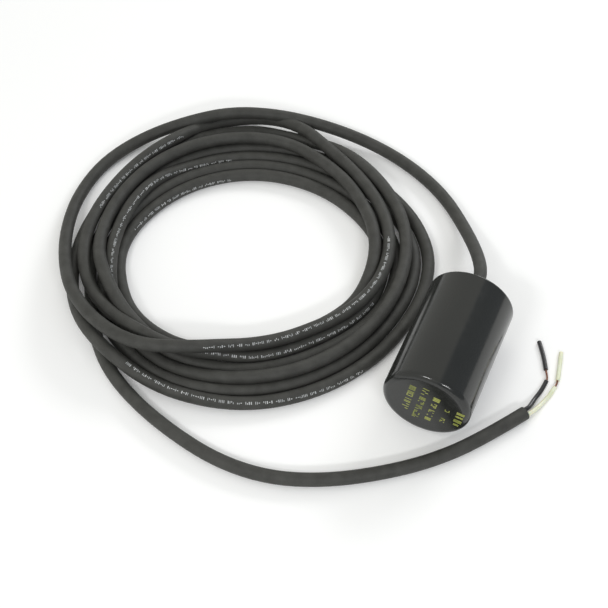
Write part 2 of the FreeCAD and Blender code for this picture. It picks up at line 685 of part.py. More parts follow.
def wire_connector(tab_y):
    """A sleeve round the tab, with a barrel that hangs beside the switch and holds the wire."""
    half_x = TERMINAL_THICKNESS / 2 + TERMINAL_FIT
    half_y = TAB_WIDTH / 2 + TERMINAL_FIT
    wall = CONNECTOR_WALL
    top = CONNECTOR_Z + CONNECTOR_HEIGHT
    sleeve = block(
        (-half_x - wall, tab_y - half_y - wall, CONNECTOR_Z),
        (half_x + wall, tab_y + half_y + wall, top),
    )
    bridge = block(
        (0, tab_y - BARREL_RADIUS, CONNECTOR_Z), (BARREL_X, tab_y + BARREL_RADIUS, CONNECTOR_Z + wall * 2)
    )
    barrel = post(BARREL_RADIUS, BARREL_BOTTOM_Z, CONNECTOR_Z + wall * 2, BARREL_X, tab_y)
    connector = sleeve.fuse([bridge, barrel])
    slot_low = (-half_x, tab_y - half_y, CONNECTOR_Z - 1)
    connector = connector.cut(block(slot_low, (half_x, tab_y + half_y, top + 1)))
    bore = post(WIRE_RADIUS + CABLE_FIT, BARREL_BOTTOM_Z, CONNECTOR_Z - wall, BARREL_X, tab_y)
    return connector.cut(bore).removeSplitter()


def black_inner_lead():
    """The shorter inner conductor, from the stripped cable end up to the rear connector."""
    spread = CONDUCTOR_SPREAD / WORKS_SCALE
    start_y = drawn_y(STUB_END_Y)
    across = BARREL_X + spread
    back = start_y - HINGE_Y
    low_z = BARREL_BOTTOM_Z / 5
    points = [
        Vector(-spread, start_y, 0),
        Vector(-spread, start_y - WIRE_RADIUS * 2, 0),
        Vector(-spread + across / 4, start_y - back * 0.52, 0),
        Vector(BARREL_X - across / 8, HINGE_Y + back * 0.12, low_z),
        Vector(BARREL_X, HINGE_Y, BARREL_BOTTOM_Z - WIRE_RADIUS * 2),
        Vector(BARREL_X, HINGE_Y, CONNECTOR_Z - CONNECTOR_WALL - CABLE_FIT),
    ]
    return tube_along(points, WIRE_RADIUS, "black_inner_lead")


def white_inner_lead():
    """The longer inner conductor, which runs forward beside the switch to the front connector."""
    spread = CONDUCTOR_SPREAD / WORKS_SCALE
    start_y = drawn_y(STUB_END_Y)
    side_x = BARREL_X + WIRE_RADIUS * 2.8
    back = start_y - HINGE_Y
    low_z = BARREL_BOTTOM_Z / 5
    points = [
        Vector(spread, start_y, 0),
        Vector(spread, start_y - WIRE_RADIUS * 2, 0),
        Vector(spread + side_x / 4, start_y - back * 0.52, -low_z / 4),
        Vector(side_x - WIRE_RADIUS * 0.7, HINGE_Y, -low_z / 2),
        Vector(side_x, PLUNGER_Y, low_z),
        Vector(BARREL_X + WIRE_RADIUS, CONTACT_Y + WIRE_RADIUS * 2, low_z * 2),
        Vector(BARREL_X, CONTACT_Y, BARREL_BOTTOM_Z - WIRE_RADIUS * 1.6),
        Vector(BARREL_X, CONTACT_Y, CONNECTOR_Z - CONNECTOR_WALL - CABLE_FIT),
    ]
    return tube_along(points, WIRE_RADIUS, "white_inner_lead")


def cable_coil():
    """The outer shape of the loose coil, as one closed ring."""
    outlines = []
    for radii in (COIL_OUTER_RADII, COIL_INNER_RADII):
        points = []
        for index, radius in enumerate(radii):
            angle = math.radians(COIL_FIRST_STATION_DEG + 360 / len(radii) * index)
            x = COIL_CENTRE[0] + radius * math.cos(angle)
            y = COIL_CENTRE[1] + radius * math.sin(angle)
            points.append(Vector(x, y, 0))
        curve = Part.BSplineCurve()
        curve.interpolate(points, PeriodicFlag=True)
        outlines.append(Part.Wire(curve.toShape()))
    height = CABLE_DIAMETER * COIL_LAYERS
    outer = Part.Face(outlines[0]).extrude(Vector(0, 0, height))
    inner = Part.Face(outlines[1]).extrude(Vector(0, 0, height))
    coil = outer.cut(inner)
    flat_edges = [edge for edge in coil.Edges if edge.BoundBox.ZLength < 0.01]
    return coil.makeFillet(CABLE_DIAMETER * COIL_EDGE_SHARE, flat_edges)


def cable_lead():
    """The cable from the cap, round the outside of the coil and over its turns."""
    start = Vector(0, CAP_FACE_Y, AXIS_HEIGHT)
    points = [start, start + Vector(0, LEAD_STRAIGHT, 0)] + lying(LEAD_ROUTE, CABLE_RADIUS)
    return tube_along(points, CABLE_RADIUS, "cable_lead")


def cable_tail():
    """The cable from under the coil to its cut end."""
    return tube_along(lying(TAIL_ROUTE, CABLE_RADIUS), CABLE_RADIUS, "cable_tail")


def cut_end(side):
    """Where a conductor leaves the cable's cut end, to one side of its centre."""
    before, end = lying(TAIL_ROUTE, CABLE_RADIUS)[-2:]
    heading = Vector(end - before).normalize()
    across = Vector(-heading.y, heading.x, 0)
    return end + across * (side * CONDUCTOR_SPREAD), heading


def conductor_set(colour, side, route, slug_route):
    """A conductor, its bare strand and the piece of insulation slid along it."""
    start, heading = cut_end(side)
    points = [start, start + heading * CONDUCTOR_DIAMETER] + lying(route, CONDUCTOR_RADIUS)
    save(colour + "_conductor", tube_along(points, CONDUCTOR_RADIUS, colour + "_conductor"))
    slug_points = lying(slug_route, CONDUCTOR_RADIUS)
    out_heading = Vector(points[-1] - points[-2]).normalize()
    last_heading = Vector(slug_points[-1] - slug_points[-2]).normalize()
    strand_points = [points[-1], points[-1] + out_heading * STRAND_BEFORE_BEND] + slug_points[:-1]
    strand_points.append(slug_points[-1] - last_heading * STRAND_SHORT_OF_SLUG)
    strand = tube_along(strand_points, STRAND_DIAMETER / 2, colour + "_strand")
    save(colour + "_strand", strand)
    outer = tube_along(slug_points, CONDUCTOR_RADIUS, colour + "_slug")
    bore = tube_along(strand_points, STRAND_DIAMETER / 2 + STRAND_FIT, colour + "_slug bore")
    save(colour + "_slug", outer.cut(bore))


def save(name, solid):
    """Write one piece."""
    if not solid.isValid():
        print("not valid:", name)
    solid.exportStep("parts/" + name + ".step")


save("float_shell", on_axis(float_shell()))
save("rear_cap", on_axis(rear_cap()))
save("cap_seal", on_axis(cap_seal()))
save("cable_bush", on_axis(cable_bush()))
save("gland_washer", on_axis(gland_washer()))
save("gland_nut", on_axis(gland_nut()))
save("crimp_ring", on_axis(crimp_ring()))
save("cable_entry", on_axis(cable_entry()))
save("switch_carrier", on_axis(switch_carrier()))
save("steel_ball", on_axis(fitted(steel_ball())))
save("actuator_lever", on_axis(fitted(actuator_lever())))
save("lever_pin", on_axis(fitted(lever_pin())))
save("switch_case", on_axis(fitted(switch_case())))
save("switch_cover", on_axis(fitted(switch_cover())))
save("switch_screws", on_axis(fitted(switch_screws())))
save("switch_plunger", on_axis(fitted(switch_plunger())))
save("contact_blade", on_axis(fitted(contact_blade())))
save("open_terminal", on_axis(fitted(open_terminal())))
save("common_terminal", on_axis(fitted(common_terminal())))
save("open_connector", on_axis(fitted(wire_connector(CONTACT_Y))))
save("common_connector", on_axis(fitted(wire_connector(HINGE_Y))))
save("black_inner_lead", on_axis(fitted(black_inner_lead())))
save("white_inner_lead", on_axis(fitted(white_inner_lead())))
save("cable_lead", cable_lead())
save("cable_coil", cable_coil())
save("cable_tail", cable_tail())
conductor_set("black", 1, BLACK_ROUTE, BLACK_SLUG_ROUTE)
conductor_set("white", -1, WHITE_ROUTE, WHITE_SLUG_ROUTE)
swing = math.radians(CONTACT_SWING_DEG)
lift_left = BLADE_LIFT_GAP + (HINGE_Y - PLUNGER_Y) * math.sin(swing) - plunger_travel()
contact_left = CONTACT_GAP + TERMINAL_FIT - (HINGE_Y - CONTACT_Y + CONTACT_RADIUS) * math.sin(swing)
print("ball travel", round(ball_travel(), 3), "plunger travel", round(plunger_travel(), 3))
print("lever pivot", PIVOT_Y, round(AXIS_HEIGHT + PIVOT_Z, 3))
print("blade pivot", HINGE_Y, round(AXIS_HEIGHT + BLADE_Z + BLADE_THICKNESS / 2, 3))
print("left at full swing: plunger to blade", round(lift_left, 3), "contacts", round(contact_left, 3))
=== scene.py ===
"""A cable float switch on a pale floor: round float, loose coil of cable and stripped end."""

import math
import random

import bmesh
import bpy
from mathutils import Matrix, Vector


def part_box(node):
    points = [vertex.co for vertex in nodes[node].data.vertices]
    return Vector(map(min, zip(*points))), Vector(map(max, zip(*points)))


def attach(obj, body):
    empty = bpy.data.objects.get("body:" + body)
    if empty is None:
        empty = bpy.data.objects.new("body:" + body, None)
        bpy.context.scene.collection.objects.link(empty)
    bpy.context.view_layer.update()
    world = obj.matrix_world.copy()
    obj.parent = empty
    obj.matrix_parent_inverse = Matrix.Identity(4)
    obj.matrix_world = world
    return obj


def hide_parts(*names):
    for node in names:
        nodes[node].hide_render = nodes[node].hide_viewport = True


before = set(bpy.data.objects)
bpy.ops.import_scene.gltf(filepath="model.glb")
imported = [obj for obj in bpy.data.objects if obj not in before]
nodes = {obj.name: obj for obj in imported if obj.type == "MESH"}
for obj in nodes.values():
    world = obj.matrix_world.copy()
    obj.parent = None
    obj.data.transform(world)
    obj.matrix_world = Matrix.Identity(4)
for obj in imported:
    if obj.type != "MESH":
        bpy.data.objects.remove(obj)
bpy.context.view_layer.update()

# Places and lengths are in millimetres where nothing else is said
MM = 0.001
UP = Vector((0, 0, 1))


def millimetres(values):
    """A place given in millimetres, in metres."""
    return Vector(values) * MM


def placed(name, data):
    """A new object of the given data, in the scene."""
    thing = bpy.data.objects.new(name, data)
    bpy.context.scene.collection.objects.link(thing)
    return thing


def aimed(thing, place, target):
    """Put a camera or lamp at a place and turn it to look at its target, both in metres."""
    thing.location = place
    thing.rotation_mode = "QUATERNION"
    thing.rotation_quaternion = (Vector(target) - Vector(place)).to_track_quat("-Z", "Y")


# The camera looks down on the part from the front right
CAMERA_PLACE = (90.61, -407.55, 592.0)
CAMERA_TARGET = (-93.08, 16.93, 0.0)
CAMERA_LENS = 76.09
CAMERA_SENSOR = 36.0
# The nearest and the farthest that it sees, in metres
CAMERA_REACH = (0.01, 20.0)

camera_data = bpy.data.cameras.new("camera")
camera_data.sensor_width = CAMERA_SENSOR
camera_data.lens = CAMERA_LENS
camera_data.clip_start, camera_data.clip_end = CAMERA_REACH
camera = placed("camera", camera_data)
aimed(camera, millimetres(CAMERA_PLACE), millimetres(CAMERA_TARGET))
bpy.context.scene.camera = camera
bpy.context.scene.view_settings.view_transform = "Standard"

# Materials: a tone that varies in patches, and a fine grain in the gloss and in the surface
SHADER_SOCKETS = {
    "metallic": "Metallic",
    "specular": "Specular IOR Level",
    "subsurface": "Subsurface Weight",
}
# Grains across a patch of one tone
GRAINS_IN_PATCH = 12
TONE_DETAIL = 3.0
GRAIN_DETAIL = 5.0
# Texture values at which a colour or a roughness is all the one or all the other
RAMP_START = 0.3
RAMP_END = 0.7


def node_material(name):
    """A new material with its node tree and surface shader."""
    material = bpy.data.materials.new(name)
    material.use_nodes = True
    tree = material.node_tree
    return material, tree, tree.nodes["Principled BSDF"]


def noise_node(tree, scale, detail, stretch=None):
    """A noise over the piece's own coordinates, in features per metre."""
    place = tree.nodes.new("ShaderNodeTexCoord").outputs["Object"]
    if stretch:
        mapping = tree.nodes.new("ShaderNodeMapping")
        mapping.inputs["Scale"].default_value = stretch
        tree.links.new(place, mapping.inputs["Vector"])
        place = mapping.outputs["Vector"]
    noise = tree.nodes.new("ShaderNodeTexNoise")
    noise.inputs["Scale"].default_value = scale
    noise.inputs["Detail"].default_value = detail
    tree.links.new(place, noise.inputs["Vector"])
    return noise.outputs["Fac"]


def ramp_node(tree, source, low, high):
    """The colour between two colours that a texture's value picks."""
    ramp = tree.nodes.new("ShaderNodeValToRGB")
    stops = ramp.color_ramp.elements
    stops[0].position, stops[1].position = RAMP_START, RAMP_END
    stops[0].color, stops[1].color = (*low, 1), (*high, 1)
    tree.links.new(source, ramp.inputs["Fac"])
    return ramp.outputs["Color"]


def finish_material(name, dark, light, rough, grain, depth, stretch=None, **plain):
    """A surface whose colour and roughness vary, with a fine grain standing out of it.

    The grain is in features per metre and its depth in millimetres. The plain values are the
    same all over the surface.
    """
    material, tree, shader = node_material(name)
    tone = noise_node(tree, grain / GRAINS_IN_PATCH, TONE_DETAIL)
    tree.links.new(ramp_node(tree, tone, dark, light), shader.inputs["Base Color"])
    fine = noise_node(tree, grain, GRAIN_DETAIL, stretch)
    gloss = ramp_node(tree, fine, (rough[0],) * 3, (rough[1],) * 3)
    tree.links.new(gloss, shader.inputs["Roughness"])
    bump = tree.nodes.new("ShaderNodeBump")
    bump.inputs["Strength"].default_value = 1.0
    bump.inputs["Distance"].default_value = depth * MM
    tree.links.new(fine, bump.inputs["Height"])
    tree.links.new(bump.outputs["Normal"], shader.inputs["Normal"])
    for key, value in plain.items():
        shader.inputs[SHADER_SOCKETS[key]].default_value = value
    return material


jacket = finish_material(
    "jacket_rubber",
    dark=(0.038, 0.038, 0.034),
    light=(0.056, 0.056, 0.051),
    rough=(0.52, 0.72),
    grain=1800,
    depth=0.10,
    specular=0.4,
)
gloss_black = finish_material(
    "float_gloss",
    dark=(0.015, 0.016, 0.015),
    light=(0.019, 0.020, 0.018),
    rough=(0.12, 0.19),
    grain=260,
    depth=0.012,
)
black_skin = finish_material(
    "black_insulation",
    dark=(0.020, 0.020, 0.022),
    light=(0.030, 0.030, 0.033),
    rough=(0.22, 0.32),
    grain=2500,
    depth=0.02,
)
cream_skin = finish_material(
    "cream_insulation",
    dark=(0.80, 0.77, 0.52),
    light=(0.90, 0.88, 0.68),
    rough=(0.30, 0.45),
    grain=2500,
    depth=0.03,
    subsurface=0.15,
)
copper = finish_material(
    "copper_wire",
    dark=(0.19, 0.098, 0.070),
    light=(0.37, 0.19, 0.138),
    rough=(0.30, 0.50),
    grain=3000,
    depth=0.02,
    metallic=0.9,
)
pale_ink = finish_material(
    "pale_ink",
    dark=(0.40, 0.42, 0.43),
    light=(0.62, 0.63, 0.63),
    rough=(0.5, 0.65),
    grain=2500,
    depth=0.02,
)
green_ink = finish_material(
    "green_ink",
    dark=(0.22, 0.25, 0.04),
    light=(0.48, 0.50, 0.12),
    rough=(0.45, 0.6),
    grain=1500,
    depth=0.02,
)
seal_skin = finish_material(
    "seal_rubber",
    dark=(0.012, 0.012, 0.012),
    light=(0.022, 0.022, 0.022),
    rough=(0.5, 0.7),
    grain=2500,
    depth=0.05,
)
carrier_skin = finish_material(
    "carrier_plastic",
    dark=(0.50, 0.50, 0.46),
    light=(0.60, 0.60, 0.56),
    rough=(0.35, 0.5),
    grain=1500,
    depth=0.03,
)
steel = finish_material(
    "plated_steel",
    dark=(0.45, 0.45, 0.46),
    light=(0.60, 0.60, 0.61),
    rough=(0.22, 0.4),
    grain=2200,
    depth=0.01,
    stretch=(1, 0.1, 1),
    metallic=1.0,
)
ball_skin = finish_material(
    "ball_steel",
    dark=(0.62, 0.62, 0.64),
    light=(0.70, 0.70, 0.72),
    rough=(0.06, 0.12),
    grain=900,
    depth=0.003,
    metallic=1.0,
)
switch_skin = finish_material(
    "switch_plastic",
    dark=(0.014, 0.014, 0.014),
    light=(0.024, 0.024, 0.024),
    rough=(0.35, 0.5),
    grain=2000,
    depth=0.03,
)
plunger_skin = finish_material(
    "plunger_plastic",
    dark=(0.26, 0.015, 0.010),
    light=(0.34, 0.025, 0.016),
    rough=(0.3, 0.45),
    grain=2500,
    depth=0.02,
)
brass = finish_material(
    "contact_brass",
    dark=(0.52, 0.34, 0.10),
    light=(0.66, 0.46, 0.17),
    rough=(0.2, 0.35),
    grain=2500,
    depth=0.01,
    metallic=1.0,
)

# The cable, by places of its middle
CABLE_RADIUS = 3.8
# Steps of its spline from point to point, and how finely it is rounded
CABLE_STEPS = 5
CABLE_ROUNDNESS = 7
# Height of its middle where it lies on the floor
LOW = CABLE_RADIUS

# From the float round the outside of the coil and over its front
LEAD_POINTS = (
    (0.0, 37.0, 24.6),
    (0.0, 56.0, 24.6),
    (-7.0, 76.0, 17.2),
    (-22.0, 101.0, 7.4),
    (-46.0, 127.5, LOW),
    (-75.0, 143.5, LOW),
    (-105.0, 150.4, 5.8),
    (-136.0, 150.2, 9.0),
    (-166.2, 143.9, 12.8),
    (-194.6, 132.3, 14.4),
    (-219.8, 116.8, 9.6),
    (-240.6, 96.4, 5.6),
    (-253.6, 70.0, LOW),
    (-254.8, 40.0, 4.2),
    (-247.0, 11.0, 7.6),
    (-232.5, -17.0, 12.0),
    (-213.6, -40.2, 17.6),
    (-188.4, -55.6, 20.0),
    (-161.3, -60.2, 20.0),
    (-136.5, -51.6, 20.0),
    (-117.3, -38.6, 15.6),
)
COIL_CENTRE = (-133.7, 35.3)
COIL_TURN_DEG = 23.4
COIL_STEP_DEG = 15

# The loose turns, listed one by one: degrees round the coil, radius and height
COIL_KEYS = (
    # First turn
    (270, 69.9, 11.2),
    (300, 68.0, 10.9),
    (330, 74.8, 11.4),
    (360, 80.7, 11.2),
    (375, 82.4, 11.5),
    (390, 84.1, 11.0),
    (405, 87.2, 11.4),
    (420, 92.9, 11.6),
    (435, 106.0, 12.4),
    (450, 118.6, LOW),
    (465, 116.4, LOW),
    (480, 104.8, 12.6),
    (495, 102.8, 11.1),
    (510, 100.7, 10.8),
    (540, 100.8, 10.8),
    (555, 98.8, 11.2),
    (570, 94.2, 12.0),
    (585, 89.5, 16.4),
    (600, 84.5, 12.2),
    (615, 76.9, 9.1),
    # Second turn
    (630, 74.1, LOW),
    (660, 71.3, LOW),
    (690, 76.5, LOW),
    (720, 77.0, LOW),
    (750, 70.5, LOW),
    (780, 67.1, LOW),
    (810, 67.2, LOW),
    (840, 69.5, LOW),
    (870, 74.0, LOW),
    (885, 77.7, LOW),
    (900, 80.2, LOW),
    (915, 80.2, LOW),
    (930, 81.2, LOW),
    (945, 79.2, LOW),
    (960, 76.6, LOW),
    (975, 70.4, LOW),
    # Third turn
    (990, 65.6, LOW),
    (1020, 63.6, LOW),
    (1050, 68.6, LOW),
    (1065, 70.4, 7.2),
    (1080, 72.2, 10.4),
    (1095, 73.4, 11.5),
    (1110, 74.8, 10.8),
    (1125, 78.2, 11.4),
    (1140, 82.0, 11.6),
    (1155, 88.9, 11.5),
    (1170, 92.6, 11.5),
    (1200, 94.6, 11.5),
    (1230, 92.9, 11.3),
    (1245, 92.0, 11.5),
    (1260, 91.5, 12.2),
    (1275, 88.6, 17.8),
    (1290, 86.2, 12.0),
    (1305, 85.0, 9.2),
    (1320, 84.7, LOW),
    (1335, 83.0, LOW),
    # Fourth turn
    (1350, 82.6, LOW),
    (1380, 80.2, LOW),
    (1410, 84.2, LOW),
    (1440, 85.5, LOW),
    (1470, 79.0, LOW),
    (1500, 74.9, LOW),
    (1530, 74.9, LOW),
    (1560, 77.1, LOW),
    (1590, 81.6, LOW),
    (1605, 85.0, LOW),
    (1620, 88.3, LOW),
    (1635, 90.3, LOW),
    (1650, 97.0, LOW),
    (1665, 98.8, LOW),
    (1680, 100.4, LOW),
    # Fifth turn
    (1710, 96.4, LOW),
    (1740, 93.6, LOW),
    (1770, 93.3, LOW),
    (1800, 96.4, LOW),
    (1830, 89.0, LOW),
    (1860, 82.9, LOW),
    (1890, 82.7, LOW),
    (1920, 84.8, LOW),
    (1935, 85.4, 8.2),
    (1950, 83.5, 11.2),
    (1965, 82.7, 11.0),
    (1980, 83.5, 10.8),
    (1995, 85.4, 10.2),
    (2010, 89.4, 4.2),
    (2025, 91.0, LOW),
    (2040, 92.5, LOW),
    (2055, 91.0, 5.6),
    # Sixth turn
    (2070, 91.1, 9.0),
    (2100, 89.3, 10.2),
    (2130, 88.6, 11.2),
    (2145, 89.0, 11.4),
    (2160, 90.6, 10.8),
    (2175, 92.2, 11.4),
    (2190, 93.4, 11.2),
    (2205, 95.0, 12.0),
    (2220, 100.4, 7.2),
    (2235, 101.3, LOW),
    (2250, 106.2, LOW),
    (2280, 105.8, LOW),
    (2310, 103.6, LOW),
    (2325, 104.3, LOW),
    (2340, 106.5, LOW),
    (2355, 108.4, 7.6),
    (2370, 110.4, 12.4),
    (2385, 109.0, 11.8),
    (2400, 107.8, 7.0),
    # Seventh turn, three quarters round
    (2430, 105.1, LOW),
    (2460, 102.0, LOW),
    (2490, 101.4, LOW),
    (2520, 104.6, LOW),
    (2550, 97.4, LOW),
    (2580, 91.4, LOW),
    (2610, 90.6, LOW),
    (2640, 92.6, LOW),
    (2670, 91.3, LOW),
    (2700, 97.4, LOW),
)

# From under the coil along the front to the cut end
TAIL_POINTS = (
    (-206.5, -33.0, LOW),
    (-193.0, -53.0, LOW),
    (-174.0, -71.8, LOW),
    (-149.0, -85.5, LOW),
    (-121.0, -95.0, LOW),
    (-92.0, -101.0, LOW),
    (-63.0, -99.6, LOW),
    (-36.0, -89.8, LOW),
    (-10.5, -74.2, LOW),
    (12.0, -56.0, LOW),
    (31.5, -33.5, LOW),
    (48.5, -7.1, LOW),
)


def between_keys(angle):
    """Radius and height at an angle, smooth in radius and straight in height."""
    index = 0
    while index < len(COIL_KEYS) - 2 and COIL_KEYS[index + 1][0] <= angle:
        index += 1
    start, end = COIL_KEYS[index], COIL_KEYS[index + 1]
    before = COIL_KEYS[max(index - 1, 0)]
    after = COIL_KEYS[min(index + 2, len(COIL_KEYS) - 1)]
    span = end[0] - start[0]
    share = (angle - start[0]) / span
    slope_in = (end[1] - before[1]) / (end[0] - before[0]) * span
    slope_out = (after[1] - start[1]) / (after[0] - start[0]) * span
    # A cubic through both keys, which at each has the slope of the line past it
    square, cube = share**2, share**3
    radius = (
        (2 * cube - 3 * square + 1) * start[1]
        + (cube - 2 * square + share) * slope_in
        + (3 * square - 2 * cube) * end[1]
        + (cube - square) * slope_out
    )
    return radius, start[2] + (end[2] - start[2]) * share


def coil_points():
    """The coil's turns as points of the cable's spline."""
    # Beside a point the spline runs through three quarters of that point and an eighth of each
    # neighbour, so on a round path it stays inside, and its points are set out by as much
    outward = 1 / (0.75 + 0.25 * math.cos(math.radians(COIL_STEP_DEG)))
    points = []
    for angle in range(COIL_KEYS[0][0], COIL_KEYS[-1][0] + 1, COIL_STEP_DEG):
        radius, height = between_keys(angle)
        turn = math.radians(angle + COIL_TURN_DEG)
        x = COIL_CENTRE[0] + radius * outward * math.cos(turn)
        y = COIL_CENTRE[1] + radius * outward * math.sin(turn)
        points.append((x, y, height))
    return points


def smooth_curve(name, points, steps):
    """Curve data of one smooth open spline, with some steps from point to point."""
    data = bpy.data.curves.new(name, "CURVE")
    data.dimensions = "3D"
    data.resolution_u = steps
    spline = data.splines.new("NURBS")
    spline.points.add(len(points) - 1)
    for point, place in zip(spline.points, points):
        point.co = (*millimetres(place), 1.0)
    spline.order_u = 3
    spline.use_endpoint_u = True
    spline.use_smooth = True
    return data


def cord_piece(name, points, radius, material, steps, roundness):
    """A round cord with flat ends along a smooth spline."""
    data = smooth_curve(name, points, steps)
    data.bevel_depth = radius * MM
    data.bevel_resolution = roundness
    data.use_fill_caps = True
    data.materials.append(material)
    return placed(name, data)


def line_along(points, steps):
    """The places that a smooth spline goes through, in metres."""
    data = smooth_curve("line", points, steps)
    guide = placed("line", data)
    mesh = bpy.data.meshes.new_from_object(guide)
    places = [vertex.co.copy() for vertex in mesh.vertices]
    bpy.data.objects.remove(guide)
    bpy.data.curves.remove(data)
    bpy.data.meshes.remove(mesh)
    return places


cable_points = list(LEAD_POINTS) + coil_points() + list(TAIL_POINTS)
cable = cord_piece("cable", cable_points, CABLE_RADIUS, jacket, CABLE_STEPS, CABLE_ROUNDNESS)
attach(cable, "float")
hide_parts("cable_lead", "cable_coil", "cable_tail")


def headings(places):
    """The direction of a line at each of its places."""
    last = len(places) - 1
    return [
        (places[min(index + 1, last)] - places[max(index - 1, 0)]).normalized()
        for index in range(len(places))
    ]


def axes_across(heading):
    """The directions to the right of a heading and up across it."""
    outside = heading.cross(UP).normalized()
    return outside, outside.cross(heading)


def turned(first, second, turn):
    """The direction that a turn leads to, from a first axis towards a second."""
    return first * math.cos(turn) + second * math.sin(turn)


def ring_at(mesh, middle, axes, radius, sides):
    """Add a ring of vertices round a place to a bmesh, in metres."""
    ring = []
    for corner in range(sides):
        outward = turned(*axes, math.tau * corner / sides)
        ring.append(mesh.verts.new(middle + outward * radius))
    return ring


def skin(mesh, rings):
    """Join rings of vertices into one closed smooth surface."""
    for first, second in zip(rings, rings[1:]):
        for corner in range(len(first)):
            after = (corner + 1) % len(first)
            corners = (first[corner], first[after], second[after], second[corner])
            mesh.faces.new(corners).smooth = True
    mesh.faces.new(list(reversed(rings[0])))
    mesh.faces.new(rings[-1])


def mesh_piece(name, mesh, material):
    """An object of a finished bmesh in one material."""
    bmesh.ops.recalc_face_normals(mesh, faces=mesh.faces)
    data = bpy.data.meshes.new(name)
    mesh.to_mesh(data)
    mesh.free()
    data.materials.append(material)
    return placed(name, data)


# The two conductors at the cable's end: each starts inside it, and past a short gap of bare
# strand comes the piece of insulation that was slid to the end
CONDUCTOR_RADIUS = 1.25
CONDUCTOR_STEPS = 10
CONDUCTOR_ROUNDNESS = 8
# Height of a conductor's middle where it lies on the floor
FLAT = CONDUCTOR_RADIUS
BLACK_WIRE_POINTS = (
    (45.5, -8.8, LOW),
    (48.5, -4.1, LOW),
    (49.6, -1.8, 3.45),
    (50.3, 5.0, 1.55),
    (52.4, 12.8, FLAT),
    (52.9, 19.6, FLAT),
)
BLACK_COPPER_POINTS = (
    (52.9, 19.6, FLAT),
    (53.05, 21.6, FLAT),
    (50.3, 27.0, FLAT),
    (46.9, 35.4, FLAT),
)
BLACK_END_POINTS = (
    (50.3, 27.0, FLAT),
    (46.9, 35.4, FLAT),
    (41.2, 44.2, FLAT),
)
CREAM_WIRE_POINTS = (
    (48.2, -10.5, LOW),
    (51.2, -5.9, LOW),
    (53.0, -2.4, 3.45),
    (55.2, 4.4, 1.55),
    (57.4, 11.2, FLAT),
    (58.4, 17.4, FLAT),
)
CREAM_COPPER_POINTS = (
    (58.4, 17.4, FLAT),
    (58.7, 19.4, FLAT),
    (58.6, 22.4, FLAT),
    (57.0, 32.0, FLAT),
)
CREAM_END_POINTS = (
    (58.6, 22.4, FLAT),
    (57.0, 32.0, FLAT),
    (54.9, 41.8, FLAT),
)
STRAND_RADIUS = 0.55
STRAND_STEPS = 14
OUTER_WIRES = 6
WIRE_RADIUS = 0.19
WIRE_SIDES = 10
# Length along the strand in which a wire goes once round its core
WIRE_LAY = 9.0


def wire(mesh, places):
    """Add a closed thin round wire along the places to a bmesh, in metres."""
    rings = []
    # The side is carried on from place to place, so that the wire doesn't twist
    side = UP
    for place, along in zip(places, headings(places)):
        side = (side - along * side.dot(along)).normalized()
        axes = (side, along.cross(side))
        rings.append(ring_at(mesh, place, axes, WIRE_RADIUS * MM, WIRE_SIDES))
    skin(mesh, rings)


def copper_strand(name, points):
    """A bare conductor: a core wire and the wires laid round it, along a smooth spline."""
    line = line_along(points, STRAND_STEPS)
    offset = (STRAND_RADIUS - WIRE_RADIUS) * MM
    mesh = bmesh.new()
    wire(mesh, line)
    for number in range(OUTER_WIRES):
        places = []
        run = 0.0
        for index, (place, along) in enumerate(zip(line, headings(line))):
            if index:
                run += (place - line[index - 1]).length / MM
            turn = math.tau * (number / OUTER_WIRES + run / WIRE_LAY)
            places.append(place + turned(*axes_across(along), turn) * offset)
        wire(mesh, places)
    return mesh_piece(name, mesh, copper)


def insulation(name, points, node, material):
    """A length of a conductor's insulation, which stands for a CAD node."""
    piece = cord_piece(
        name, points, CONDUCTOR_RADIUS, material, CONDUCTOR_STEPS, CONDUCTOR_ROUNDNESS
    )
    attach(piece, "float")
    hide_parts(node)
    return piece


black_wire = insulation("black_wire", BLACK_WIRE_POINTS, "black_conductor", black_skin)
black_end = insulation("black_end", BLACK_END_POINTS, "black_slug", black_skin)
cream_wire = insulation("cream_wire", CREAM_WIRE_POINTS, "white_conductor", cream_skin)
cream_end = insulation("cream_end", CREAM_END_POINTS, "white_slug", cream_skin)
black_copper = copper_strand("black_copper", BLACK_COPPER_POINTS)
cream_copper = copper_strand("cream_copper", CREAM_COPPER_POINTS)
for piece, node in ((black_copper, "black_strand"), (cream_copper, "white_strand")):
    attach(piece, "float")
    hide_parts(node)

# Runs of plain pale marks along the cable: the coil's angle at both ends, and the roll from the
# cable's top towards the outside of the coil at both ends, in degrees
MARK_RUNS = (
    (241, 359, 50, -10),
    (473, 518, -58, -34),
    (600, 688, 36, 50),
    (821, 882, -84, -50),
    (1904, 1999, -66, -12),
    (2396, 2472, 0, 68),
)
# Kinds of mark: length along the cable, and bottom and top across the run
MARK_HALF = 0.75
TICK = (0.3, -MARK_HALF, MARK_HALF)
LOW_TICK = (0.35, -MARK_HALF, 0.1)
HIGH_TICK = (0.35, -0.1, MARK_HALF)
BAR = (0.8, -0.2, 0.2)
BLOCK = (0.55, -MARK_HALF, MARK_HALF)
CABLE_MARK_KINDS = (TICK, TICK, LOW_TICK, HIGH_TICK, BAR, BLOCK)
CABLE_MARK_SEED = 11
MARK_GAP = 0.55
GROUP_GAP = 1.9
# Fewest and most marks in a group
GROUP_SIZES = (3, 7)
# Places in a row across a mark, which follows the cable's round
ROW_PLACES = 3
# A mark's bottom and top, from the surface that it is printed on
MARK_RISES = (-0.12, 0.05)

cable_line = line_along(cable_points, CABLE_STEPS)


def line_index(angle):
    """Where an angle of the coil falls along the cable's line."""
    control = len(LEAD_POINTS) + (angle - COIL_KEYS[0][0]) / COIL_STEP_DEG
    return control / (len(cable_points) - 1) * (len(cable_line) - 1)


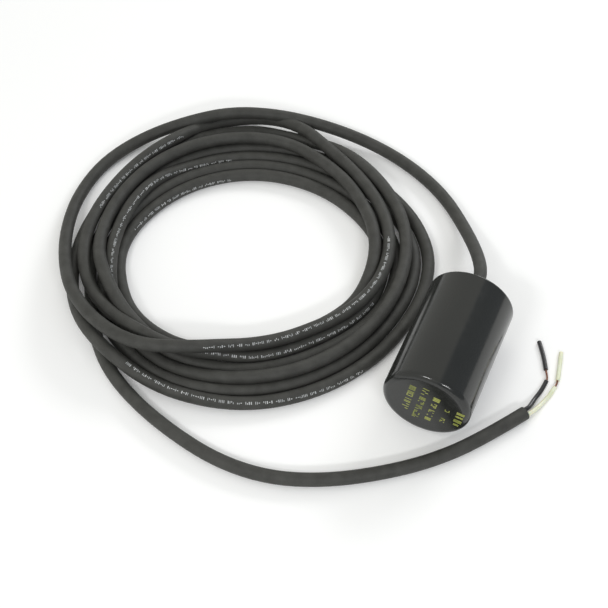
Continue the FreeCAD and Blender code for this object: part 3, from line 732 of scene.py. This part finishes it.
def line_place(where):
    """The place and heading at a fractional index along the cable's line."""
    index = min(max(int(where), 0), len(cable_line) - 2)
    share = where - index
    start, end = cable_line[index], cable_line[index + 1]
    before = cable_line[max(index - 1, 0)]
    after = cable_line[min(index + 2, len(cable_line) - 1)]
    heading = (end - before).lerp(after - start, share).normalized()
    return start.lerp(end, share), heading


def line_step(where):
    """The distance between the two places of the cable's line round an index."""
    return (cable_line[int(where)] - cable_line[int(where) + 1]).length / MM


def slab(mesh, low_places, high_places):
    """Add a closed thin slab to a bmesh, from two like grids of places."""
    low = [[mesh.verts.new(place) for place in row] for row in low_places]
    high = [[mesh.verts.new(place) for place in row] for row in high_places]
    rows, columns = range(len(low) - 1), range(len(low[0]) - 1)
    for i in rows:
        for j in columns:
            for grid in (high, low):
                mesh.faces.new((grid[i][j], grid[i + 1][j], grid[i + 1][j + 1], grid[i][j + 1]))
    for i in rows:
        for j in (0, -1):
            mesh.faces.new((low[i][j], low[i + 1][j], high[i + 1][j], high[i][j]))
    for j in columns:
        for i in (0, -1):
            mesh.faces.new((low[i][j], high[i][j], high[i][j + 1], low[i][j + 1]))


def jacket_row(where, roll, bottom, top, radius):
    """Places in a row across a mark, at a radius from the cable's middle."""
    place, heading = line_place(where)
    outside, upward = axes_across(heading)
    row = []
    for number in range(ROW_PLACES):
        height = bottom + (top - bottom) * number / (ROW_PLACES - 1)
        turn = math.radians(roll) + height / CABLE_RADIUS
        row.append(place + turned(upward, outside, turn) * (radius * MM))
    return row


def cable_mark(mesh, ends, roll, bottom, top):
    """One plain mark on the jacket, between two indices along the cable's line."""
    grids = []
    for rise in MARK_RISES:
        radius = CABLE_RADIUS + rise
        grids.append([jacket_row(where, roll, bottom, top, radius) for where in ends])
    slab(mesh, *grids)


def cable_marks():
    """Groups of ticks and bars of a few plain kinds along the cable."""
    draw = random.Random(CABLE_MARK_SEED)
    mesh = bmesh.new()
    for start, end, roll_start, roll_end in MARK_RUNS:
        first, last = line_index(start), line_index(end)
        where = first
        left_in_group = draw.randint(*GROUP_SIZES)
        while where < last:
            share = (where - first) / (last - first)
            roll = roll_start + (roll_end - roll_start) * share
            length, bottom, top = draw.choice(CABLE_MARK_KINDS)
            mark_end = where + length / line_step(where)
            cable_mark(mesh, (where, mark_end), roll, bottom, top)
            left_in_group -= 1
            gap = MARK_GAP
            if left_in_group == 0:
                gap = GROUP_GAP
                left_in_group = draw.randint(*GROUP_SIZES)
            where = mark_end + gap / line_step(mark_end)
    return mesh_piece("cable_marks", mesh, pale_ink)


cable_print = cable_marks()
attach(cable_print, "float")

# A ribbed sleeve where the cable leaves the float: distance along the cable, and radius
SLEEVE_PROFILE = (
    (-0.6, 6.9),
    (0.9, 6.9),
    (1.4, 6.4),
    (2.6, 6.2),
    (2.9, 5.4),
    (3.7, 5.3),
    (4.0, 5.9),
    (5.0, 5.7),
    (5.3, 5.0),
    (6.1, 4.9),
    (6.4, 5.4),
    (7.4, 5.2),
    (7.7, 4.7),
    (8.6, 4.6),
    (9.0, 4.3),
    (9.0, 3.7),
)
SLEEVE_SIDES = 48
SLEEVE_SHARP_DEG = 25


def cable_sleeve():
    """A tapered rubber sleeve with ribs, closed at its ends, round the cable."""
    mesh = bmesh.new()
    step = line_step(0)
    rings = []
    for along, radius in SLEEVE_PROFILE:
        place, heading = line_place(along / step)
        rings.append(ring_at(mesh, place, axes_across(heading), radius * MM, SLEEVE_SIDES))
    skin(mesh, rings)
    piece = mesh_piece("cable_sleeve", mesh, seal_skin)
    piece.data.set_sharp_from_angle(angle=math.radians(SLEEVE_SHARP_DEG))
    return piece


sleeve = cable_sleeve()
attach(sleeve, "float")

# Plain marks on the float's flat end
SHELL_LOW, SHELL_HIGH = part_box("float_shell")
END_Y = SHELL_LOW.y / MM
END_MIDDLE_Z = (SHELL_LOW.z + SHELL_HIGH.z) / 2 / MM
ROW_TILT_DEG = 8.7
# Rows: distance across the face, start and end along the row, height of the marks, share filled
END_ROWS = (
    (-14.4, -3.0, 1.2, 2.6, 0.5),
    (-9.4, -11.6, 13.3, 3.6, 0.72),
    (-2.5, -15.6, 15.4, 3.6, 0.72),
    (4.4, -6.4, 6.0, 3.2, 0.6),
    (11.6, -7.3, -3.2, 2.6, 0.5),
    (11.9, 2.4, 6.2, 2.6, 0.5),
)
END_ROW_STEP = 1.05
# Kinds of mark in a row, each of one or two strokes: shift across the row and width, both as
# shares of the row's height, and length along it
FULL_MARK = ((0.0, 1.0, 0.42),)
NEAR_MARK = ((-0.25, 0.5, 0.5),)
FAR_MARK = ((0.25, 0.5, 0.5),)
TWIN_MARK = ((-0.4, 0.2, 0.7), (0.4, 0.2, 0.7))
END_MARK_KINDS = (FULL_MARK, FULL_MARK, NEAR_MARK, FAR_MARK, TWIN_MARK)
END_MARK_SEED = 5
# Blocks: across, along, width and length
END_BLOCKS = (
    (4.2, -10.2, 3.4, 2.8),
    (4.6, 9.6, 3.8, 3.6),
    (19.0, -4.6, 3.0, 1.8),
    (19.0, -1.0, 4.4, 2.8),
    (19.0, 3.0, 4.2, 1.6),
    (19.0, 6.2, 4.4, 2.2),
)
# Each block is three bars: their places along it and their length, as shares of its length
BLOCK_BARS = (-0.34, 0.0, 0.34)
BLOCK_BAR = 0.2
HALVES = (-0.5, 0.5)


def end_place(across, along, rise):
    """A place over the float's end face, in metres."""
    tilt = math.radians(ROW_TILT_DEG)
    x = across * math.cos(tilt) + along * math.sin(tilt)
    z = END_MIDDLE_Z - across * math.sin(tilt) + along * math.cos(tilt)
    return millimetres((x, END_Y - rise, z))


def end_mark(mesh, across, along, width, length):
    """One plain stroke on the end face."""
    grids = []
    for rise in MARK_RISES:
        rows = []
        for end in HALVES:
            rows.append(
                [end_place(across + width * side, along + length * end, rise) for side in HALVES]
            )
        grids.append(rows)
    slab(mesh, *grids)


def end_marks():
    """Rows of plain marks and a few blocks on the float's end."""
    draw = random.Random(END_MARK_SEED)
    mesh = bmesh.new()
    for across, start, end, height, filled in END_ROWS:
        along = start
        while along < end:
            if draw.random() < filled:
                for shift, width, length in draw.choice(END_MARK_KINDS):
                    end_mark(mesh, across + height * shift, along, height * width, length)
            along += END_ROW_STEP
    for across, along, width, length in END_BLOCKS:
        for part in BLOCK_BARS:
            end_mark(mesh, across, along + length * part, width, length * BLOCK_BAR)
    return mesh_piece("end_marks", mesh, green_ink)


face_print = end_marks()
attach(face_print, "float")

# What the nodes that keep their CAD shape are made of
NODE_FINISHES = (
    (gloss_black, ("float_shell", "rear_cap")),
    (seal_skin, ("cap_seal", "cable_bush")),
    (jacket, ("cable_entry",)),
    (carrier_skin, ("switch_carrier", "gland_nut")),
    (steel, ("gland_washer", "crimp_ring", "lever_pin", "switch_screws", "actuator_lever")),
    (ball_skin, ("steel_ball",)),
    (switch_skin, ("switch_case", "switch_cover")),
    (plunger_skin, ("switch_plunger",)),
    (brass, ("contact_blade", "open_terminal", "common_terminal")),
    (brass, ("open_connector", "common_connector")),
    (black_skin, ("black_inner_lead",)),
    (cream_skin, ("white_inner_lead",)),
)
for material, names in NODE_FINISHES:
    for name in names:
        for holder in nodes[name].material_slots:
            holder.material = material

# The floor, from its middle to an edge in metres
FLOOR_HALF = 30.0
FLOOR_COLOUR = (0.96, 0.96, 0.96, 1)
FLOOR_ROUGHNESS = 0.9
FLOOR_GLOW = 0.075


def seen_ray(tree):
    """One for camera, glossy and transmission rays, which all see the pale floor."""
    path = tree.nodes.new("ShaderNodeLightPath")
    total = path.outputs["Is Camera Ray"]
    for name in ("Is Glossy Ray", "Is Transmission Ray"):
        either = tree.nodes.new("ShaderNodeMath")
        either.operation = "MAXIMUM"
        tree.links.new(total, either.inputs[0])
        tree.links.new(path.outputs[name], either.inputs[1])
        total = either.outputs["Value"]
    return total


def pale_floor():
    """A matt floor that looks a little brighter than the light on it makes it."""
    material, tree, shader = node_material("floor")
    shader.inputs["Base Color"].default_value = FLOOR_COLOUR
    shader.inputs["Roughness"].default_value = FLOOR_ROUGHNESS
    shader.inputs["Specular IOR Level"].default_value = 0.0
    shader.inputs["Emission Color"].default_value = (1, 1, 1, 1)
    glow = tree.nodes.new("ShaderNodeMath")
    glow.operation = "MULTIPLY"
    glow.inputs[1].default_value = FLOOR_GLOW
    tree.links.new(seen_ray(tree), glow.inputs[0])
    tree.links.new(glow.outputs["Value"], shader.inputs["Emission Strength"])
    data = bpy.data.meshes.new("floor")
    corners = ((-1, -1), (1, -1), (1, 1), (-1, 1))
    places = [(x * FLOOR_HALF, y * FLOOR_HALF, 0) for x, y in corners]
    data.from_pydata(places, [], [(0, 1, 2, 3)])
    data.materials.append(material)
    return placed("floor", data)


floor = pale_floor()

# A pale studio on the left and above, and a dim one on the right, with a soft edge between them
DOME_EDGE_DEG = 20.0
DOME_EDGE_SOFT = 0.06
DOME_BRIGHT = 0.76
DOME_DIM = 0.34
DOME_BRIGHT_TINT = (1.0, 1.0, 0.955, 1)
DOME_DIM_TINT = (0.93, 1.0, 1.09, 1)


def studio_world():
    """The light from all round, by the direction that it comes from."""
    world = bpy.data.worlds.new("world")
    world.use_nodes = True
    tree = world.node_tree
    background = tree.nodes["Background"]
    direction = tree.nodes.new("ShaderNodeTexCoord")
    to_dim_side = tree.nodes.new("ShaderNodeVectorMath")
    to_dim_side.operation = "DOT_PRODUCT"
    edge = math.radians(DOME_EDGE_DEG)
    to_dim_side.inputs[1].default_value = (math.cos(edge), 0, -math.sin(edge))
    tree.links.new(direction.outputs["Generated"], to_dim_side.inputs[0])
    strength = tree.nodes.new("ShaderNodeMapRange")
    strength.interpolation_type = "SMOOTHSTEP"
    strength.inputs["From Min"].default_value = -DOME_EDGE_SOFT
    strength.inputs["From Max"].default_value = DOME_EDGE_SOFT
    strength.inputs["To Min"].default_value = DOME_BRIGHT
    strength.inputs["To Max"].default_value = DOME_DIM
    tree.links.new(to_dim_side.outputs["Value"], strength.inputs["Value"])
    tree.links.new(strength.outputs["Result"], background.inputs["Strength"])
    brightness = tree.nodes.new("ShaderNodeMapRange")
    brightness.inputs["From Min"].default_value = DOME_DIM
    brightness.inputs["From Max"].default_value = DOME_BRIGHT
    tree.links.new(strength.outputs["Result"], brightness.inputs["Value"])
    tint = tree.nodes.new("ShaderNodeMix")
    tint.data_type = "RGBA"
    tint.inputs["A"].default_value = DOME_DIM_TINT
    tint.inputs["B"].default_value = DOME_BRIGHT_TINT
    tree.links.new(brightness.outputs["Result"], tint.inputs["Factor"])
    tree.links.new(tint.outputs["Result"], background.inputs["Color"])
    return world


bpy.context.scene.world = studio_world()

# Soft lamps: direction from the float, size in metres and brightness
LAMPS = (
    ("rear_lamp", (0.16, 0.85, 0.50), (0.7, 0.36), 9),
    ("front_lamp_left", (-0.20, -0.68, 0.71), (0.38, 0.13), 24),
    ("front_lamp_right", (0.48, -0.65, 0.59), (0.52, 0.13), 26),
)
# From the float to each lamp, in metres
LAMP_DISTANCE = 1.5


def area_lamp(name, direction, size, radiance):
    """A soft rectangular lamp that looks at the float."""
    data = bpy.data.lights.new(name, "AREA")
    data.shape = "RECTANGLE"
    data.size, data.size_y = size
    data.energy = radiance * math.pi * size[0] * size[1]
    aimed(placed(name, data), Vector(direction).normalized() * LAMP_DISTANCE, (0, 0, 0))


for lamp in LAMPS:
    area_lamp(*lamp)

# Bring the placed pieces up to date
bpy.context.view_layer.update()
